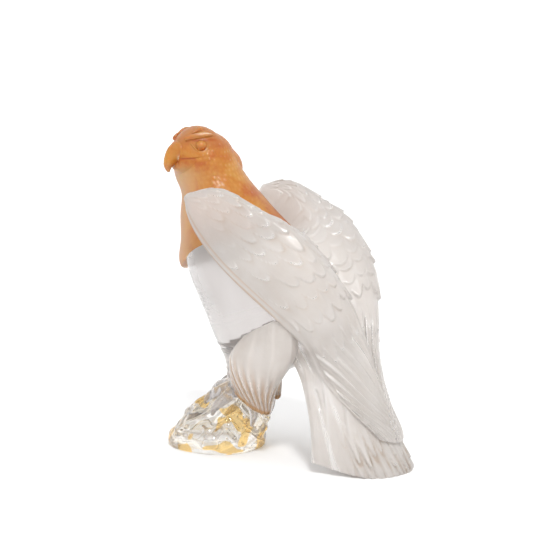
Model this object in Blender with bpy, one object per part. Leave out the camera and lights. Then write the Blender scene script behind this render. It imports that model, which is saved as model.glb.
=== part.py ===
"""Crystal eagle perched on a rock, three cast pieces: clear rock, crystal body, amber head and mantle.

Forms are worked out in the bird's own directions (forward, left, up) in 360ths of its height, then
placed with the bird facing -Y, its left side at +X and the rock's flat underside on Z = 0.
"""
import bmesh
import bpy
import numpy as np

# Driving sizes, metres
EAGLE_HEIGHT = 0.360
ROCK_LENGTH = 0.106
ROCK_WIDTH = 0.100
ROCK_HEIGHT = 0.077
TAIL_THICKNESS = 0.013
JOINT_GAP = 0.0004
FEATHER_STEP = 0.0016
QUILL_STEP = 0.0020
TAIL_FLUTE = 0.0018
ROCK_WAVE = 0.0022

SHARES = 360.0
UNIT = EAGLE_HEIGHT / SHARES
ROCK_TOP = ROCK_HEIGHT / UNIT
ROCK_REACH = ROCK_LENGTH / 2 / UNIT
ROCK_SIDE = ROCK_WIDTH / 2 / UNIT
MERGE = 0.000001
SHARP = np.radians(38)

# Free forms: (forward, left, up) in 360ths of the height
# Wing: one row per station from the wrist to the tips. Leading edge, outer face (2), crest,
# inner slope, middle line of the back, then two points inside that close the section.
WING = [
    [(-9, 75, 281), (-10, 78, 285), (-13, 78, 289), (-17, 75, 291),
     (-19, 70, 289), (-19, 67, 284), (-17, 67, 279), (-12, 70, 278)],
    [(-16, 76, 259), (-29, 83, 272), (-42, 83, 288), (-54, 76, 296),
     (-60, 67, 291), (-62, 59, 277), (-48, 54, 250), (-24, 62, 244)],
    [(-36, 73, 229), (-58, 83, 246), (-76, 83, 269), (-90, 75, 280),
     (-98, 57, 270), (-98, 34, 250), (-80, 30, 235), (-50, 50, 215)],
    [(-61, 66, 201), (-88, 80, 220), (-108, 81, 244), (-122, 71, 264),
     (-126, 42, 252), (-110, -2, 236), (-92, 2, 220), (-74, 40, 190)],
    [(-88, 60, 177), (-118, 75, 196), (-140, 75, 220), (-150, 61, 240),
     (-148, 32, 232), (-130, -2, 214), (-108, 2, 200), (-96, 36, 170)],
    [(-115, 53, 154), (-146, 66, 170), (-165, 64, 193), (-172, 48, 208),
     (-165, 24, 206), (-150, -2, 190), (-126, 2, 176), (-120, 34, 150)],
    [(-142, 46, 128), (-163, 56, 142), (-177, 47, 159), (-183, 32, 173),
     (-178, 15, 174), (-168, -2, 164), (-146, 2, 150), (-142, 28, 130)],
    [(-158, 42, 99), (-174, 43, 108), (-185, 32, 116), (-194, 15, 122),
     (-195, 5, 122), (-192, -3, 119), (-176, -1, 114), (-162, 24, 102)],
    [(-187, 38, 69), (-193, 33, 73), (-200, 23, 76), (-207, 10, 78),
     (-209, 2, 78), (-208, -6, 77), (-194, -4, 74), (-186, 20, 67)],
    [(-207, 30, 49), (-214, 23, 47), (-220, 14, 46), (-222, 6, 46),
     (-223, -1, 46), (-222, -7, 45), (-212, -4, 42), (-205, 16, 44)],
    [(-215, 25, 39), (-219, 22, 36), (-225, 14, 33), (-228, 6, 31),
     (-229, -1, 31), (-228, -7, 31), (-218, -5, 31), (-210, 12, 35)],
]
WING_FEATHERS = 6
COVERT_TIPS = [0.085, 0.165, 0.245, 0.33, 0.42, 0.535, 0.69]
COVERT_ROUND = [0.030, 0.032, 0.034, 0.036, 0.040, 0.048, 0.055]
QUILL_STATIONS = [0.74, 0.80, 0.86, 0.92, 0.96]

# Trunk and the clear stem under it: up, front, back, half width; the stem's foot is sunk in the rock
STEM_SUNK = 15
TRUNK = [
    (ROCK_TOP - STEM_SUNK, -19, -54, 18), (80, -19, -66, 24), (103, -17, -112, 35), (125, -6, -144, 44),
    (152, 5, -154, 52), (180, 17, -148, 58), (198, 24, -138, 61), (224, 28, -120, 63),
    (250, 28, -100, 60), (276, 25, -80, 52),
]
# Parting face between body and mantle: rises to the back and to both sides
PART_TIP = (39, 198)
PART_BACK_RISE = 0.32
PART_SIDE_RISE = 0.33
PART_ROUND = 12.0

# Thigh: forward, left, up, half length, half width, slope of its rings; the far one stands further ahead
THIGH = [
    (-106, 28, 164, 20, 18, -0.10), (-99, 36, 143, 29, 21, 0.05), (-90, 41, 122, 32, 24, 0.30),
    (-76, 41, 102, 28, 24, 0.55), (-69, 37, 83, 24, 21, 0.62), (-65, 33, 64, 22, 14, 0.62),
]
THIGH_FLUTES = 7
FAR_THIGH_STEP = [14, 24, 40, 42, 30, 22]
FAR_THIGH_SHARE = 0.85

# Tail: outer face from its left corner round to the middle line, top to bottom
TAIL = [
    [(-98, 43, 150), (-125, 43, 155), (-150, 30, 160), (-166, 13, 162), (-170, 0, 162)],
    [(-117, 34, 113), (-142, 36, 118), (-165, 28, 124), (-182, 12, 126), (-185, 0, 126)],
    [(-135, 43, 88), (-158, 42, 90), (-180, 31, 92), (-193, 14, 93), (-197, 0, 93)],
    [(-149, 52, 50), (-175, 48, 48), (-199, 36, 46), (-215, 16, 45), (-219, 0, 45)],
    [(-155, 59, 13), (-188, 53, 5), (-219, 42, 0), (-236, 18, 0), (-240, 0, 0)],
]
TAIL_FEATHERS = 8
TAIL_ROWS = [0.0, 0.16, 0.32, 0.5, 0.68, 0.85, 1.0]

# Neck and mantle: forward, left, up, half length, half width
NECK = [
    (-33, 0, 190, 62, 36), (-31, 0, 203, 73, 43), (-31, 0, 218, 74, 48), (-33, 0, 236, 73, 50),
    (-19, 0, 262, 59, 46), (-8, 0, 284, 46, 42), (3, 1, 300, 42, 38), (9, 4, 316, 38, 35),
    (10, 6, 330, 33, 32), (10, 6, 343, 25, 25), (8, 5, 351, 12, 12),
]
# Head: turned to the bird's left. Stations along its own axis: along, top, bottom, half width
HEAD_TURN = np.radians(62)
HEAD_AT = (12, 6, 334)
HEAD = [
    (-47, -19, -27, 4), (-42, -9, -35, 15), (-34, -0.5, -38, 23.5), (-22, 9, -38, 29), (-10, 19, -37, 32),
    (3, 25.5, -36, 33), (14, 25, -34, 31), (23, 20.5, -31, 26), (30, 14, -28, 20), (35, 7.5, -24, 13.5),
]
# Upper bill: along, up, half width, half height, slope of its axis in degrees
BILL = [
    (24, -3, 18, 13.5, 0), (32, -5, 13.5, 12.8, -8), (37.5, -7.5, 10, 11.2, -26), (41, -11.2, 7.2, 8.6, -50),
    (43.4, -16, 4.8, 5.4, -75), (44, -20, 3.0, 3.2, -95), (43, -24.3, 0.9, 1.0, -108),
]
LOWER_BILL = [(14, -21, 20, 8, 0), (25, -21.5, 14, 6.5, 0), (33, -21.5, 8.5, 4.6, 2), (39.5, -21, 3, 2, 6)]
BROW = [(1, 13, 28, 3.4), (9, 14, 27, 4.8), (18, 13.8, 24, 5.2), (26.5, 11.6, 18.5, 4.4), (32, 8, 13, 2.4)]
EYE = (16.5, 4.5, 24.0, 5.6)

# Toes of the left foot gripping the rock: forward and left as shares of the rock's half length and half
# width, up from its top, radius
TOES = [
    [(-0.98, 0.60, 3, 9), (-0.64, 0.48, -1, 7.5), (-0.34, 0.38, -4, 6), (-0.15, 0.32, -11, 4.4),
     (-0.08, 0.30, -19, 1.6)],
    [(-0.98, 0.64, 3, 9), (-0.68, 0.64, -3, 7.5), (-0.38, 0.66, -10, 6), (-0.19, 0.66, -17, 4.4),
     (-0.11, 0.66, -26, 1.6)],
    [(-1.02, 0.68, 1, 9), (-0.83, 0.78, -7, 7.5), (-0.64, 0.86, -16, 6), (-0.49, 0.88, -24, 4.4),
     (-0.42, 0.88, -33, 1.6)],
    [(-0.94, 0.60, 1, 9), (-1.11, 0.58, -8, 8), (-1.21, 0.56, -19, 6.2), (-1.23, 0.54, -32, 4.4),
     (-1.17, 0.54, -44, 1.6)],
]
TARSUS = [(-1.20, 0.66, 15, 15), (-1.06, 0.64, 3, 13), (-1.02, 0.62, -9, 10)]
FAR_FOOT_STEP = 10

# Rock: up, front, back, half width, shares of its own height and sizes
ROCK = [
    (0.00, 0.98, -1.00, 0.98), (0.06, 1.00, -1.03, 1.00), (0.20, 0.93, -1.04, 0.98),
    (0.34, 0.80, -1.04, 0.95), (0.48, 0.62, -1.05, 0.90), (0.62, 0.37, -1.04, 0.84),
    (0.76, 0.12, -1.00, 0.75), (0.88, -0.14, -0.95, 0.62), (0.96, -0.32, -0.88, 0.45),
    (1.00, -0.44, -0.78, 0.28),
]
ROCK_SIDES = 32


def natural_weights(count, places):
    """Weights of a natural cubic spline through evenly numbered points, for places from 0 to 1."""
    n = count - 1
    eye = np.eye(count)
    system, bend = eye.copy(), np.zeros((count, count))
    for i in range(1, n):
        system[i, i - 1:i + 2] = 1, 4, 1
        bend[i, i - 1:i + 2] = 6, -12, 6
    bend = np.linalg.solve(system, bend)
    x = np.clip(places, 0, 1) * n
    i = np.minimum(x.astype(int), n - 1)
    t = (x - i)[..., None]
    curved = bend[i] * ((1 - t) ** 3 - (1 - t)) + bend[i + 1] * (t ** 3 - t)
    return curved / 6 + eye[i] * (1 - t) + eye[i + 1] * t


def curve(points, places):
    points = np.asarray(points, float)
    return natural_weights(len(points), np.asarray(places, float)) @ points


def patch(net, s, t):
    """Surface through a net of points; s runs down its rows, t along its columns."""
    net = np.asarray(net, float)
    return np.einsum("rca,rcb,abx->rcx", natural_weights(net.shape[0], s),
                     natural_weights(net.shape[1], t), net)


def patch_normals(net, s, t, away_from):
    """Unit normals of the patch, all on the side away from a point inside."""
    d = 0.004
    along = patch(net, np.minimum(s + d, 1), t) - patch(net, np.maximum(s - d, 0), t)
    across = patch(net, s, np.minimum(t + d, 1)) - patch(net, s, np.maximum(t - d, 0))
    n = np.cross(along, across)
    n /= np.maximum(np.linalg.norm(n, axis=2, keepdims=True), 1e-9)
    middle = n[n.shape[0] // 2, n.shape[1] // 2]
    place = patch(net, s, t)[n.shape[0] // 2, n.shape[1] // 2]
    return n if middle @ (place - np.asarray(away_from, float)) > 0 else -n


def loft(rings):
    """Closed form through a stack of rings, each end closed by one flat-cut face."""
    rings = np.asarray(rings, float)
    k, m, _ = rings.shape
    start = np.arange(k - 1)[:, None] * m
    j = np.arange(m)
    nxt = (j + 1) % m
    faces = np.stack([start + j, start + nxt, start + m + nxt, start + m + j], -1).reshape(-1, 4).tolist()
    faces += [list(range(m - 1, -1, -1)), list(range((k - 1) * m, k * m))]
    return rings.reshape(-1, 3), faces


def mirrored(form):
    verts, faces = form
    return verts * (1, -1, 1), [face[::-1] for face in faces]


def oval(count, power):
    angle = np.linspace(0, 2 * np.pi, count, endpoint=False)
    c, s = np.cos(angle), np.sin(angle)
    return np.sign(c) * np.abs(c) ** (2 / power), np.sign(s) * np.abs(s) ** (2 / power)


def level_ring(forward, left, up, half_length, half_width, count, power=2.0):
    c, s = oval(count, power)
    return np.stack([forward + c * half_length, left + s * half_width, np.full(count, float(up))], -1)


def tube(path, count, steps):
    """Round limb along points that carry their own radius."""
    points = curve(path, np.linspace(0, 1, steps))
    heading = np.gradient(points[:, :3], axis=0)
    heading /= np.linalg.norm(heading, axis=1, keepdims=True)
    side = np.cross(heading, (0.0, 1.0, 0.1))
    side /= np.linalg.norm(side, axis=1, keepdims=True)
    rise = np.cross(side, heading)
    angle = np.linspace(0, 2 * np.pi, count, endpoint=False)[:, None]
    return loft([p[:3] + p[3] * (np.cos(angle) * a + np.sin(angle) * b)
                 for p, a, b in zip(points, side, rise)])


def on_rock(path):
    """Points given by the rock's own size, in the bird's units."""
    return [(f * ROCK_REACH, l * ROCK_SIDE, ROCK_TOP + u, radius) for f, l, u, radius in path]


def feather_stations():
    """Rings of the wing: station and height of every column, feather rows lapping like tiles."""
    columns = 4 * WING_FEATHERS + 1
    arch = np.array([0.0, 0.82, 1.0, 0.82])
    dome = np.array([0.35, 0.85, 1.0, 0.85])
    stations, heights = [np.full(columns, 0.0)], [np.full(columns, 0.0)]
    before = np.full(columns, 0.0)
    for row, (tip, reach) in enumerate(zip(COVERT_TIPS, COVERT_ROUND)):
        place = (np.arange(columns) + 2 * (row % 2)) % 4
        edge = tip + reach * (arch[place] - 0.5)
        stations += [(before + edge) / 2, edge, edge + 0.006]
        heights += [0.55 * dome[place], dome[place], np.full(columns, 0.1)]
        before = edge
    place = (np.arange(columns) + 2 * (len(COVERT_TIPS) % 2)) % 4
    for station in QUILL_STATIONS:
        stations.append(np.full(columns, station))
        heights.append(dome[place] * min(1.0, 0.4 + (station - 0.7) * 4))
    stations.append(0.975 + 0.025 * arch[place])
    heights.append(dome[place])
    return np.array(stations), np.array(heights)


def wing():
    s, high = feather_stations()
    s = np.clip(s, 0, 1)
    t = np.broadcast_to(np.linspace(0, 1, s.shape[1]), s.shape)
    net = np.asarray(WING, float)
    face = net[:, :6]
    out = patch_normals(face, s, t, (-90, 0, 150))
    step = np.where(s < 0.62, FEATHER_STEP, QUILL_STEP) / UNIT
    edge = np.clip(t / 0.06, 0, 1) * np.clip(s / 0.03, 0, 1)
    outer = patch(face, s, t) + out * (step * high * edge)[..., None]
    level = np.clip(s.mean(1), 0, 1)
    weights = natural_weights(len(net), level)
    deep = weights @ net[:, 6].reshape(-1, 3)
    front = weights @ net[:, 7].reshape(-1, 3)
    first, last = outer[:, 0], outer[:, -1]
    inside = [(last + deep) / 2, deep, deep * 0.67 + front * 0.33, deep * 0.33 + front * 0.67, front,
              (front + first) / 2]
    rings = np.concatenate([outer, np.stack(inside, axis=1)], axis=1)
    return loft(rings)


def trunk():
    stations = curve(TRUNK, np.linspace(0, 1, 12))
    return loft([level_ring((front + back) / 2, 0, up, (front - back) / 2, width, 28, 2.2)
                 for up, front, back, width in stations])


def parting(above):
    """Block over the parting face, whose lower side is a rounded keel."""
    grid_f, grid_l = np.meshgrid(np.linspace(-135, 75, 9), np.linspace(-92, 92, 17), indexing="ij")
    side = np.sqrt(grid_l ** 2 + PART_ROUND ** 2) - PART_ROUND
    floor = PART_TIP[1] + PART_BACK_RISE * (PART_TIP[0] - grid_f) + PART_SIDE_RISE * side + above
    rings = []
    for f_row, l_row, u_row in zip(grid_f, grid_l, floor):
        low = np.stack([f_row, l_row, u_row], -1)
        high = np.stack([f_row, l_row, np.full_like(l_row, 420.0)], -1)
        rings.append(np.concatenate([low, high[::-1]]))
    return loft(rings)


def thigh(step_forward, share_of_length):
    stations = curve(THIGH, np.linspace(0, 1, 7))
    forward = curve(np.array(step_forward, float)[:, None], np.linspace(0, 1, 7))[:, 0]
    angle = np.linspace(0, 2 * np.pi, 4 * THIGH_FLUTES, endpoint=False)
    rings = []
    for k, ((f, l, u, length, width, slope), shift) in enumerate(zip(stations, forward)):
        share = k / (len(stations) - 1)
        flute = 1 + (0.02 + 0.06 * share) * np.cos(THIGH_FLUTES * angle)
        along = length * share_of_length * np.cos(angle) * flute
        fringe = 4.0 * np.cos(THIGH_FLUTES * angle) * (k == len(stations) - 1)
        rings.append(np.stack([f + shift + along, l + width * np.sin(angle) * flute,
                               u + slope * along - fringe], -1))
    return loft(rings)


def tail():
    half = np.asarray(TAIL, float)
    net = np.concatenate([half, (half * (1, -1, 1))[:, -2::-1]], axis=1)
    columns = 4 * TAIL_FEATHERS + 1
    t, s = np.meshgrid(np.linspace(0, 1, columns), TAIL_ROWS)
    out = patch_normals(net, s, t, (-120, 0, 80))
    rib = np.array([0.0, 0.8, 1.0, 0.8])[np.arange(columns) % 4]
    outer = patch(net, s, t) + out * (TAIL_FLUTE / UNIT * rib * np.clip(s * 3, 0, 1))[..., None]
    inner_t = np.linspace(0.985, 0.015, 9)
    t_in, s_in = np.meshgrid(inner_t, TAIL_ROWS)
    inner = patch(net, s_in, t_in) - patch_normals(net, s_in, t_in, (-120, 0, 80)) * TAIL_THICKNESS / UNIT
    outer[-1, :, 2] = np.maximum(outer[-1, :, 2], 0.0)
    inner[-1, :, 2] = np.maximum(inner[-1, :, 2], 0.0)
    return loft(np.concatenate([outer, inner], axis=1))


def head_place(along, side, up):
    """Point of the head's own frame in the bird's directions."""
    c, s = np.cos(HEAD_TURN), np.sin(HEAD_TURN)
    along, side, up = np.broadcast_arrays(along, side, up)
    return np.stack([HEAD_AT[0] + along * c - side * s, HEAD_AT[1] + along * s + side * c,
                     HEAD_AT[2] + up], -1)


def head():
    c, s = oval(22, 2.15)
    rings = []
    for along, top, bottom, width in curve(HEAD, np.linspace(0, 1, 13)):
        rings.append(head_place(along, c * width, (top + bottom) / 2 + s * (top - bottom) / 2))
    return loft(rings)


def bill(stations, count, steps):
    c, s = oval(count, 2.0)
    rings = []
    for along, up, width, height, slope in curve(stations, np.linspace(0, 1, steps)):
        slope = np.radians(slope)
        rings.append(head_place(along - np.sin(slope) * s * height, c * width,
                                up + np.cos(slope) * s * height))
    return loft(rings)


def brow():
    angle = np.linspace(0, 2 * np.pi, 8, endpoint=False)
    rings = []
    for along, up, side, radius in curve(BROW, np.linspace(0, 1, 7)):
        rings.append(head_place(along, side + radius * np.cos(angle), up + radius * np.sin(angle)))
    return loft(rings)


def eyeball():
    along, up, side, radius = EYE
    polar = np.linspace(0.25, np.pi - 0.25, 6)
    angle = np.linspace(0, 2 * np.pi, 10, endpoint=False)
    return loft([head_place(along + radius * np.sin(p) * np.cos(angle), side + radius * np.cos(p),
                            up + radius * np.sin(p) * np.sin(angle)) for p in polar])


def head_mirror(form):
    """The same feature on the other side of the head."""
    verts, faces = form
    across = np.array([-np.sin(HEAD_TURN), np.cos(HEAD_TURN), 0.0])
    depth = (verts - np.array(HEAD_AT, float)) @ across
    return verts - 2 * depth[:, None] * across, [face[::-1] for face in faces]


def rock():
    """Wavy boulder: an oval stack whose radius swells and dips round it and up it."""
    stations = curve(ROCK, np.linspace(0, 1, 13))
    angle = np.linspace(0, 2 * np.pi, ROCK_SIDES, endpoint=False)
    rings = []
    for share, front, back, width in stations:
        f = (front + back) / 2 * ROCK_REACH
        ring = level_ring(f, 0, share * ROCK_TOP, (front - back) / 2 * ROCK_REACH, width * ROCK_SIDE,
                          ROCK_SIDES, 2.35)
        wave = (np.sin(3 * angle + 9 * share) + 0.8 * np.sin(5 * angle - 13 * share + 1.0)
                + 0.6 * np.sin(8 * angle + 17 * share + 2.0))
        wave *= ROCK_WAVE / UNIT * min(1.0, 4 * share)
        radial = ring - (f, 0, share * ROCK_TOP)
        radial /= np.linalg.norm(radial, axis=1, keepdims=True)
        rings.append(ring + radial * wave[:, None])
    return loft(rings)


def collection(name, hidden=False):
    made = bpy.data.collections.new(name)
    bpy.context.scene.collection.children.link(made)
    made.hide_render = hidden
    return made


def solid(name, form, home):
    """Closed mesh object from a form in the bird's directions, faces outward."""
    verts, faces = form
    placed = np.stack([verts[:, 1], -verts[:, 0], verts[:, 2]], -1) * UNIT
    mesh = bpy.data.meshes.new(name)
    mesh.from_pydata(placed.tolist(), [], faces)
    work = bmesh.new()
    work.from_mesh(mesh)
    bmesh.ops.remove_doubles(work, verts=work.verts, dist=MERGE)
    bmesh.ops.triangulate(work, faces=work.faces, ngon_method="EAR_CLIP")
    bmesh.ops.recalc_face_normals(work, faces=work.faces)
    if work.calc_volume(signed=True) < 0:
        bmesh.ops.reverse_faces(work, faces=work.faces)
    work.to_mesh(mesh)
    work.free()
    made = bpy.data.objects.new(name, mesh)
    home.objects.link(made)
    return made


def grown(source, distance, home):
    """Copy of a solid moved outward by a clearance."""
    made = bpy.data.objects.new(source.name + "_clearance", source.data.copy())
    home.objects.link(made)
    count = len(made.data.vertices)
    places, outward = np.empty(count * 3), np.empty(count * 3)
    made.data.vertices.foreach_get("co", places)
    made.data.vertex_normals.foreach_get("vector", outward)
    made.data.vertices.foreach_set("co", places + outward * distance)
    return made


def combine(target, tools, operation, solver="EXACT"):
    for tool in tools:
        tool.display_type = "WIRE"
        step = target.modifiers.new(operation.lower() + "_" + tool.name, "BOOLEAN")
        step.operation = operation
        step.object = tool
        step.solver = solver


def crystal(name, colour, roughness, clearness):
    made = bpy.data.materials.new(name)
    made.use_nodes = True
    shader = made.node_tree.nodes["Principled BSDF"]
    shader.inputs["Base Color"].default_value = (*colour, 1.0)
    shader.inputs["Roughness"].default_value = roughness
    shader.inputs["Transmission Weight"].default_value = clearness
    shader.inputs["IOR"].default_value = 1.54
    return made


def finish(piece, material):
    """Apply the Booleans, clear slivers and shade with crisp feather steps."""
    graph = bpy.context.evaluated_depsgraph_get()
    mesh = bpy.data.meshes.new_from_object(piece.evaluated_get(graph))
    piece.modifiers.clear()
    piece.data = mesh
    work = bmesh.new()
    work.from_mesh(mesh)
    bmesh.ops.dissolve_degenerate(work, edges=work.edges, dist=MERGE)
    bmesh.ops.triangulate(work, faces=work.faces)
    work.to_mesh(mesh)
    work.free()
    mesh.materials.clear()
    mesh.materials.append(material)
    mesh.shade_smooth()
    mesh.set_sharp_from_angle(angle=SHARP)


def build():
    for old in list(bpy.data.objects):
        bpy.data.objects.remove(old, do_unlink=True)
    parts = collection("crystal_eagle")
    tools = collection("forming_solids", hidden=True)

    boulder = solid("crystal_rock", rock(), parts)
    rock_room = grown(boulder, JOINT_GAP, tools)

    left_wing = solid("left_wing", wing(), tools)
    right_wing = solid("right_wing", mirrored(wing()), tools)
    body = solid("crystal_body", trunk(), parts)
    above_body = solid("over_body", parting(-JOINT_GAP / UNIT / 2), tools)
    under_mantle = solid("over_parting", parting(JOINT_GAP / UNIT / 2), tools)
    limbs = [solid("left_thigh", thigh([0] * len(THIGH), 1.0), tools),
             solid("right_thigh", mirrored(thigh(FAR_THIGH_STEP, FAR_THIGH_SHARE)), tools)]
    for k, path in enumerate([on_rock(TARSUS)] + [on_rock(toe) for toe in TOES]):
        count, steps = (8, 3) if k == 0 else (6, 5)
        limbs.append(solid("left_toe_%d" % k, tube(path, count, steps), tools))
        ahead = [(f + FAR_FOOT_STEP, l, u, r) for f, l, u, r in path]
        limbs.append(solid("right_toe_%d" % k, mirrored(tube(ahead, count, steps)), tools))
    fan = solid("tail", tail(), tools)
    combine(body, [above_body], "DIFFERENCE")
    combine(body, [fan, left_wing, right_wing] + limbs, "UNION", "MANIFOLD")
    combine(body, [rock_room], "DIFFERENCE", "MANIFOLD")

    mantle = solid("amber_head_and_mantle", loft([level_ring(*row, 28, 2.1)
                                                 for row in curve(NECK, np.linspace(0, 1, 16))]), parts)
    features = [solid("skull", head(), tools), solid("upper_bill", bill(BILL, 14, 9), tools),
                solid("lower_bill", bill(LOWER_BILL, 10, 4), tools)]
    for name, form in (("brow", brow()), ("eye", eyeball())):
        features += [solid("left_" + name, form, tools), solid("right_" + name, head_mirror(form), tools)]
    combine(mantle, [under_mantle], "INTERSECT")
    combine(mantle, features, "UNION")
    combine(mantle, [grown(left_wing, JOINT_GAP, tools), grown(right_wing, JOINT_GAP, tools)], "DIFFERENCE")

    finish(boulder, crystal("clear_rock_crystal", (0.93, 0.93, 0.92), 0.05, 1.0))
    finish(body, crystal("frosted_crystal", (0.87, 0.84, 0.82), 0.35, 0.8))
    finish(mantle, crystal("amber_crystal", (0.84, 0.46, 0.20), 0.35, 0.6))


build()
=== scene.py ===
"""Crystal eagle on its rock: clear cast rock, satin and polished crystal body, amber head and mantle.

The forms are worked out in the bird's own directions (forward, left, up) in millimetres, the carving as
heights on their grids, and are set in the frame with the bird facing -Y and its left side at +X.
"""
import bmesh
import bpy
import numpy as np
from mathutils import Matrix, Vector


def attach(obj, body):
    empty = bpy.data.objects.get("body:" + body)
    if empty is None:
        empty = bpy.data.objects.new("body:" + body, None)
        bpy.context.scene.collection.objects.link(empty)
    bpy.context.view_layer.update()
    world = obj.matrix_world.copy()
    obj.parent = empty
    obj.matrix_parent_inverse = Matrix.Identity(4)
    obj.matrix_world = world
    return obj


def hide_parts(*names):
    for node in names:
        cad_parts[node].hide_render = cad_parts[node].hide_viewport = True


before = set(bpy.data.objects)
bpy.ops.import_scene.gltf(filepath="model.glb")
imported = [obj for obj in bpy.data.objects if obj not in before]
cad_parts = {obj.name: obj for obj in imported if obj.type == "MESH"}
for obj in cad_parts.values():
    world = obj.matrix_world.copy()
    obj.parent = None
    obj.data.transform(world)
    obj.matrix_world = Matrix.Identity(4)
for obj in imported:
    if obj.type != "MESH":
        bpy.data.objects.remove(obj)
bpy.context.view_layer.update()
scene = bpy.context.scene

# Metres in a millimetre; the gap in place of a bond; how deep a plain skin lies, so that its carving
# stays within the solid
UNIT = 0.001
GAP = 0.4
SINK = 0.8
# Folds sharper than this stay crisp in the shading
SHARP = np.radians(80)
# The body's material slots, and the oval on the parting face that the mantle covers: middle and half sizes
# across and along, in the frame's metres
POLISHED, SATIN, BONDED = 0, 1, 2
BOND_AT, BOND_HALF = (0.0, 0.032), (0.042, 0.068)

# Rows and columns of each form's grid
WING_GRID = (280, 100)
TRUNK_GRID = (104, 76)
THIGH_GRID = (84, 112)
TAIL_GRID = (130, 190)
NECK_GRID = (170, 260)
HEAD_GRID = (150, 200)
ROCK_GRID = (90, 180)

# Wing: one row per station from the wrist to the tips. Leading edge, outer face (2), crest,
# inner slope, middle line of the back, then two points inside that close the section.
WING = [
    [(-9, 75, 281), (-10, 78, 285), (-13, 78, 289), (-17, 75, 291),
     (-19, 70, 289), (-19, 67, 284), (-17, 67, 279), (-12, 70, 278)],
    [(-16, 76, 259), (-29, 83, 272), (-42, 83, 288), (-54, 76, 296),
     (-60, 67, 291), (-62, 59, 277), (-48, 54, 250), (-24, 62, 244)],
    [(-36, 73, 229), (-58, 83, 246), (-76, 83, 269), (-90, 75, 280),
     (-98, 57, 270), (-98, 34, 250), (-80, 30, 235), (-50, 50, 215)],
    [(-61, 66, 201), (-88, 80, 220), (-108, 81, 244), (-122, 71, 264),
     (-126, 42, 252), (-110, -2, 236), (-92, 2, 220), (-74, 40, 190)],
    [(-88, 60, 177), (-118, 75, 196), (-140, 75, 220), (-150, 61, 240),
     (-148, 32, 232), (-130, -2, 214), (-108, 2, 200), (-96, 36, 170)],
    [(-115, 53, 154), (-146, 66, 170), (-165, 64, 193), (-172, 48, 208),
     (-165, 24, 206), (-150, -2, 190), (-126, 2, 176), (-120, 34, 150)],
    [(-142, 46, 128), (-163, 56, 142), (-177, 47, 159), (-183, 32, 173),
     (-178, 15, 174), (-168, -2, 164), (-146, 2, 150), (-142, 28, 130)],
    [(-158, 42, 99), (-174, 43, 108), (-185, 32, 116), (-194, 15, 122),
     (-195, 5, 122), (-192, -3, 119), (-176, -1, 114), (-162, 24, 102)],
    [(-187, 38, 69), (-193, 33, 73), (-200, 23, 76), (-207, 10, 78),
     (-209, 2, 78), (-208, -6, 77), (-194, -4, 74), (-186, 20, 67)],
    [(-207, 30, 49), (-214, 23, 47), (-220, 14, 46), (-222, 6, 46),
     (-223, -1, 46), (-222, -7, 45), (-212, -4, 42), (-205, 16, 44)],
    [(-215, 25, 39), (-219, 22, 36), (-225, 14, 33), (-228, 6, 31),
     (-229, -1, 31), (-228, -7, 31), (-218, -5, 31), (-210, 12, 35)],
]
# Feather rows from the wrist on: where the row ends, how far its scallops reach, its depth in mm
COVERT_ROWS = [
    (-0.19, 0.030, 1.2), (-0.145, 0.032, 1.3), (-0.10, 0.034, 1.4), (-0.055, 0.036, 1.5),
    (-0.01, 0.038, 1.6), (0.04, 0.040, 1.7), (0.09, 0.040, 1.7), (0.14, 0.042, 1.7),
    (0.195, 0.044, 1.8), (0.265, 0.052, 2.5), (0.385, 0.065, 1.8), (0.52, 0.070, 2.6),
    (0.645, 0.060, 2.6),
]
ROW_SLANT = 0.24
WING_COLUMNS = 9
WING_QUILLS = 8
QUILL_DEPTH = 4.4
# Quills cross the wing by this many widths a length, from where they start
QUILL_CROSSING = 2.0
QUILL_START = 0.64
# Border along the leading edge: share of the wing's width, height in mm
BORDER = 0.05
BORDER_HEIGHT = 1.4
# How much painted shade the bolder coverts take on in between
BOLD_SHADE = 0.35
# A point inside, from which the wings' outer faces look away
WING_INSIDE = (-90, 0, 150)

# Trunk and stem: up, front, back, half width
TRUNK = [
    (62, -19, -54, 18), (80, -19, -66, 24), (103, -17, -112, 35), (125, -6, -144, 44),
    (152, 5, -154, 52), (180, 17, -148, 58), (198, 24, -138, 61), (224, 28, -120, 63),
    (250, 28, -100, 60), (276, 25, -80, 52),
]
# Ripples across both edges of the breast: middle height, reach, depth; the length of one
RIPPLES = [(165, 15, 0.5), (118, 8, 0.7), (90, 10, 0.6)]
RIPPLE_LENGTH = 7
# Parting face of body and mantle: how far ahead it is lowest and its height there, its rise for each mm
# back and each mm to a side, and the width that rounds its keel
PARTING_FRONT, PARTING_LOW = 39, 198
BACK_RISE, SIDE_RISE = 0.32, 0.33
KEEL = 12
# Block over the parting face: first, last and count of its points, then its top
BLOCK_FORWARD, BLOCK_ACROSS = (-135, 75, 30), (-92, 92, 61)
BLOCK_TOP = 420.0
# Thigh: forward, left, up, half length, half width, slope of its rings; the far one stands further ahead
THIGH = [
    (-106, 28, 164, 20, 18, -0.10), (-99, 36, 143, 29, 21, 0.05), (-90, 41, 122, 32, 24, 0.30),
    (-76, 41, 102, 28, 24, 0.55), (-69, 37, 83, 24, 21, 0.62), (-65, 33, 64, 22, 14, 0.62),
]
FAR_THIGH_STEP = [14, 24, 40, 42, 30, 22]
FAR_THIGH_SHARE = 0.85
FAR_FOOT_STEP = 10
THIGH_SLATS, SLAT_DEPTH = 8, 1.5
THIGH_STRANDS, STRAND_DEPTH = 14, 2.4
THIGH_SINK = 1
FRINGE = 4.0
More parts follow.
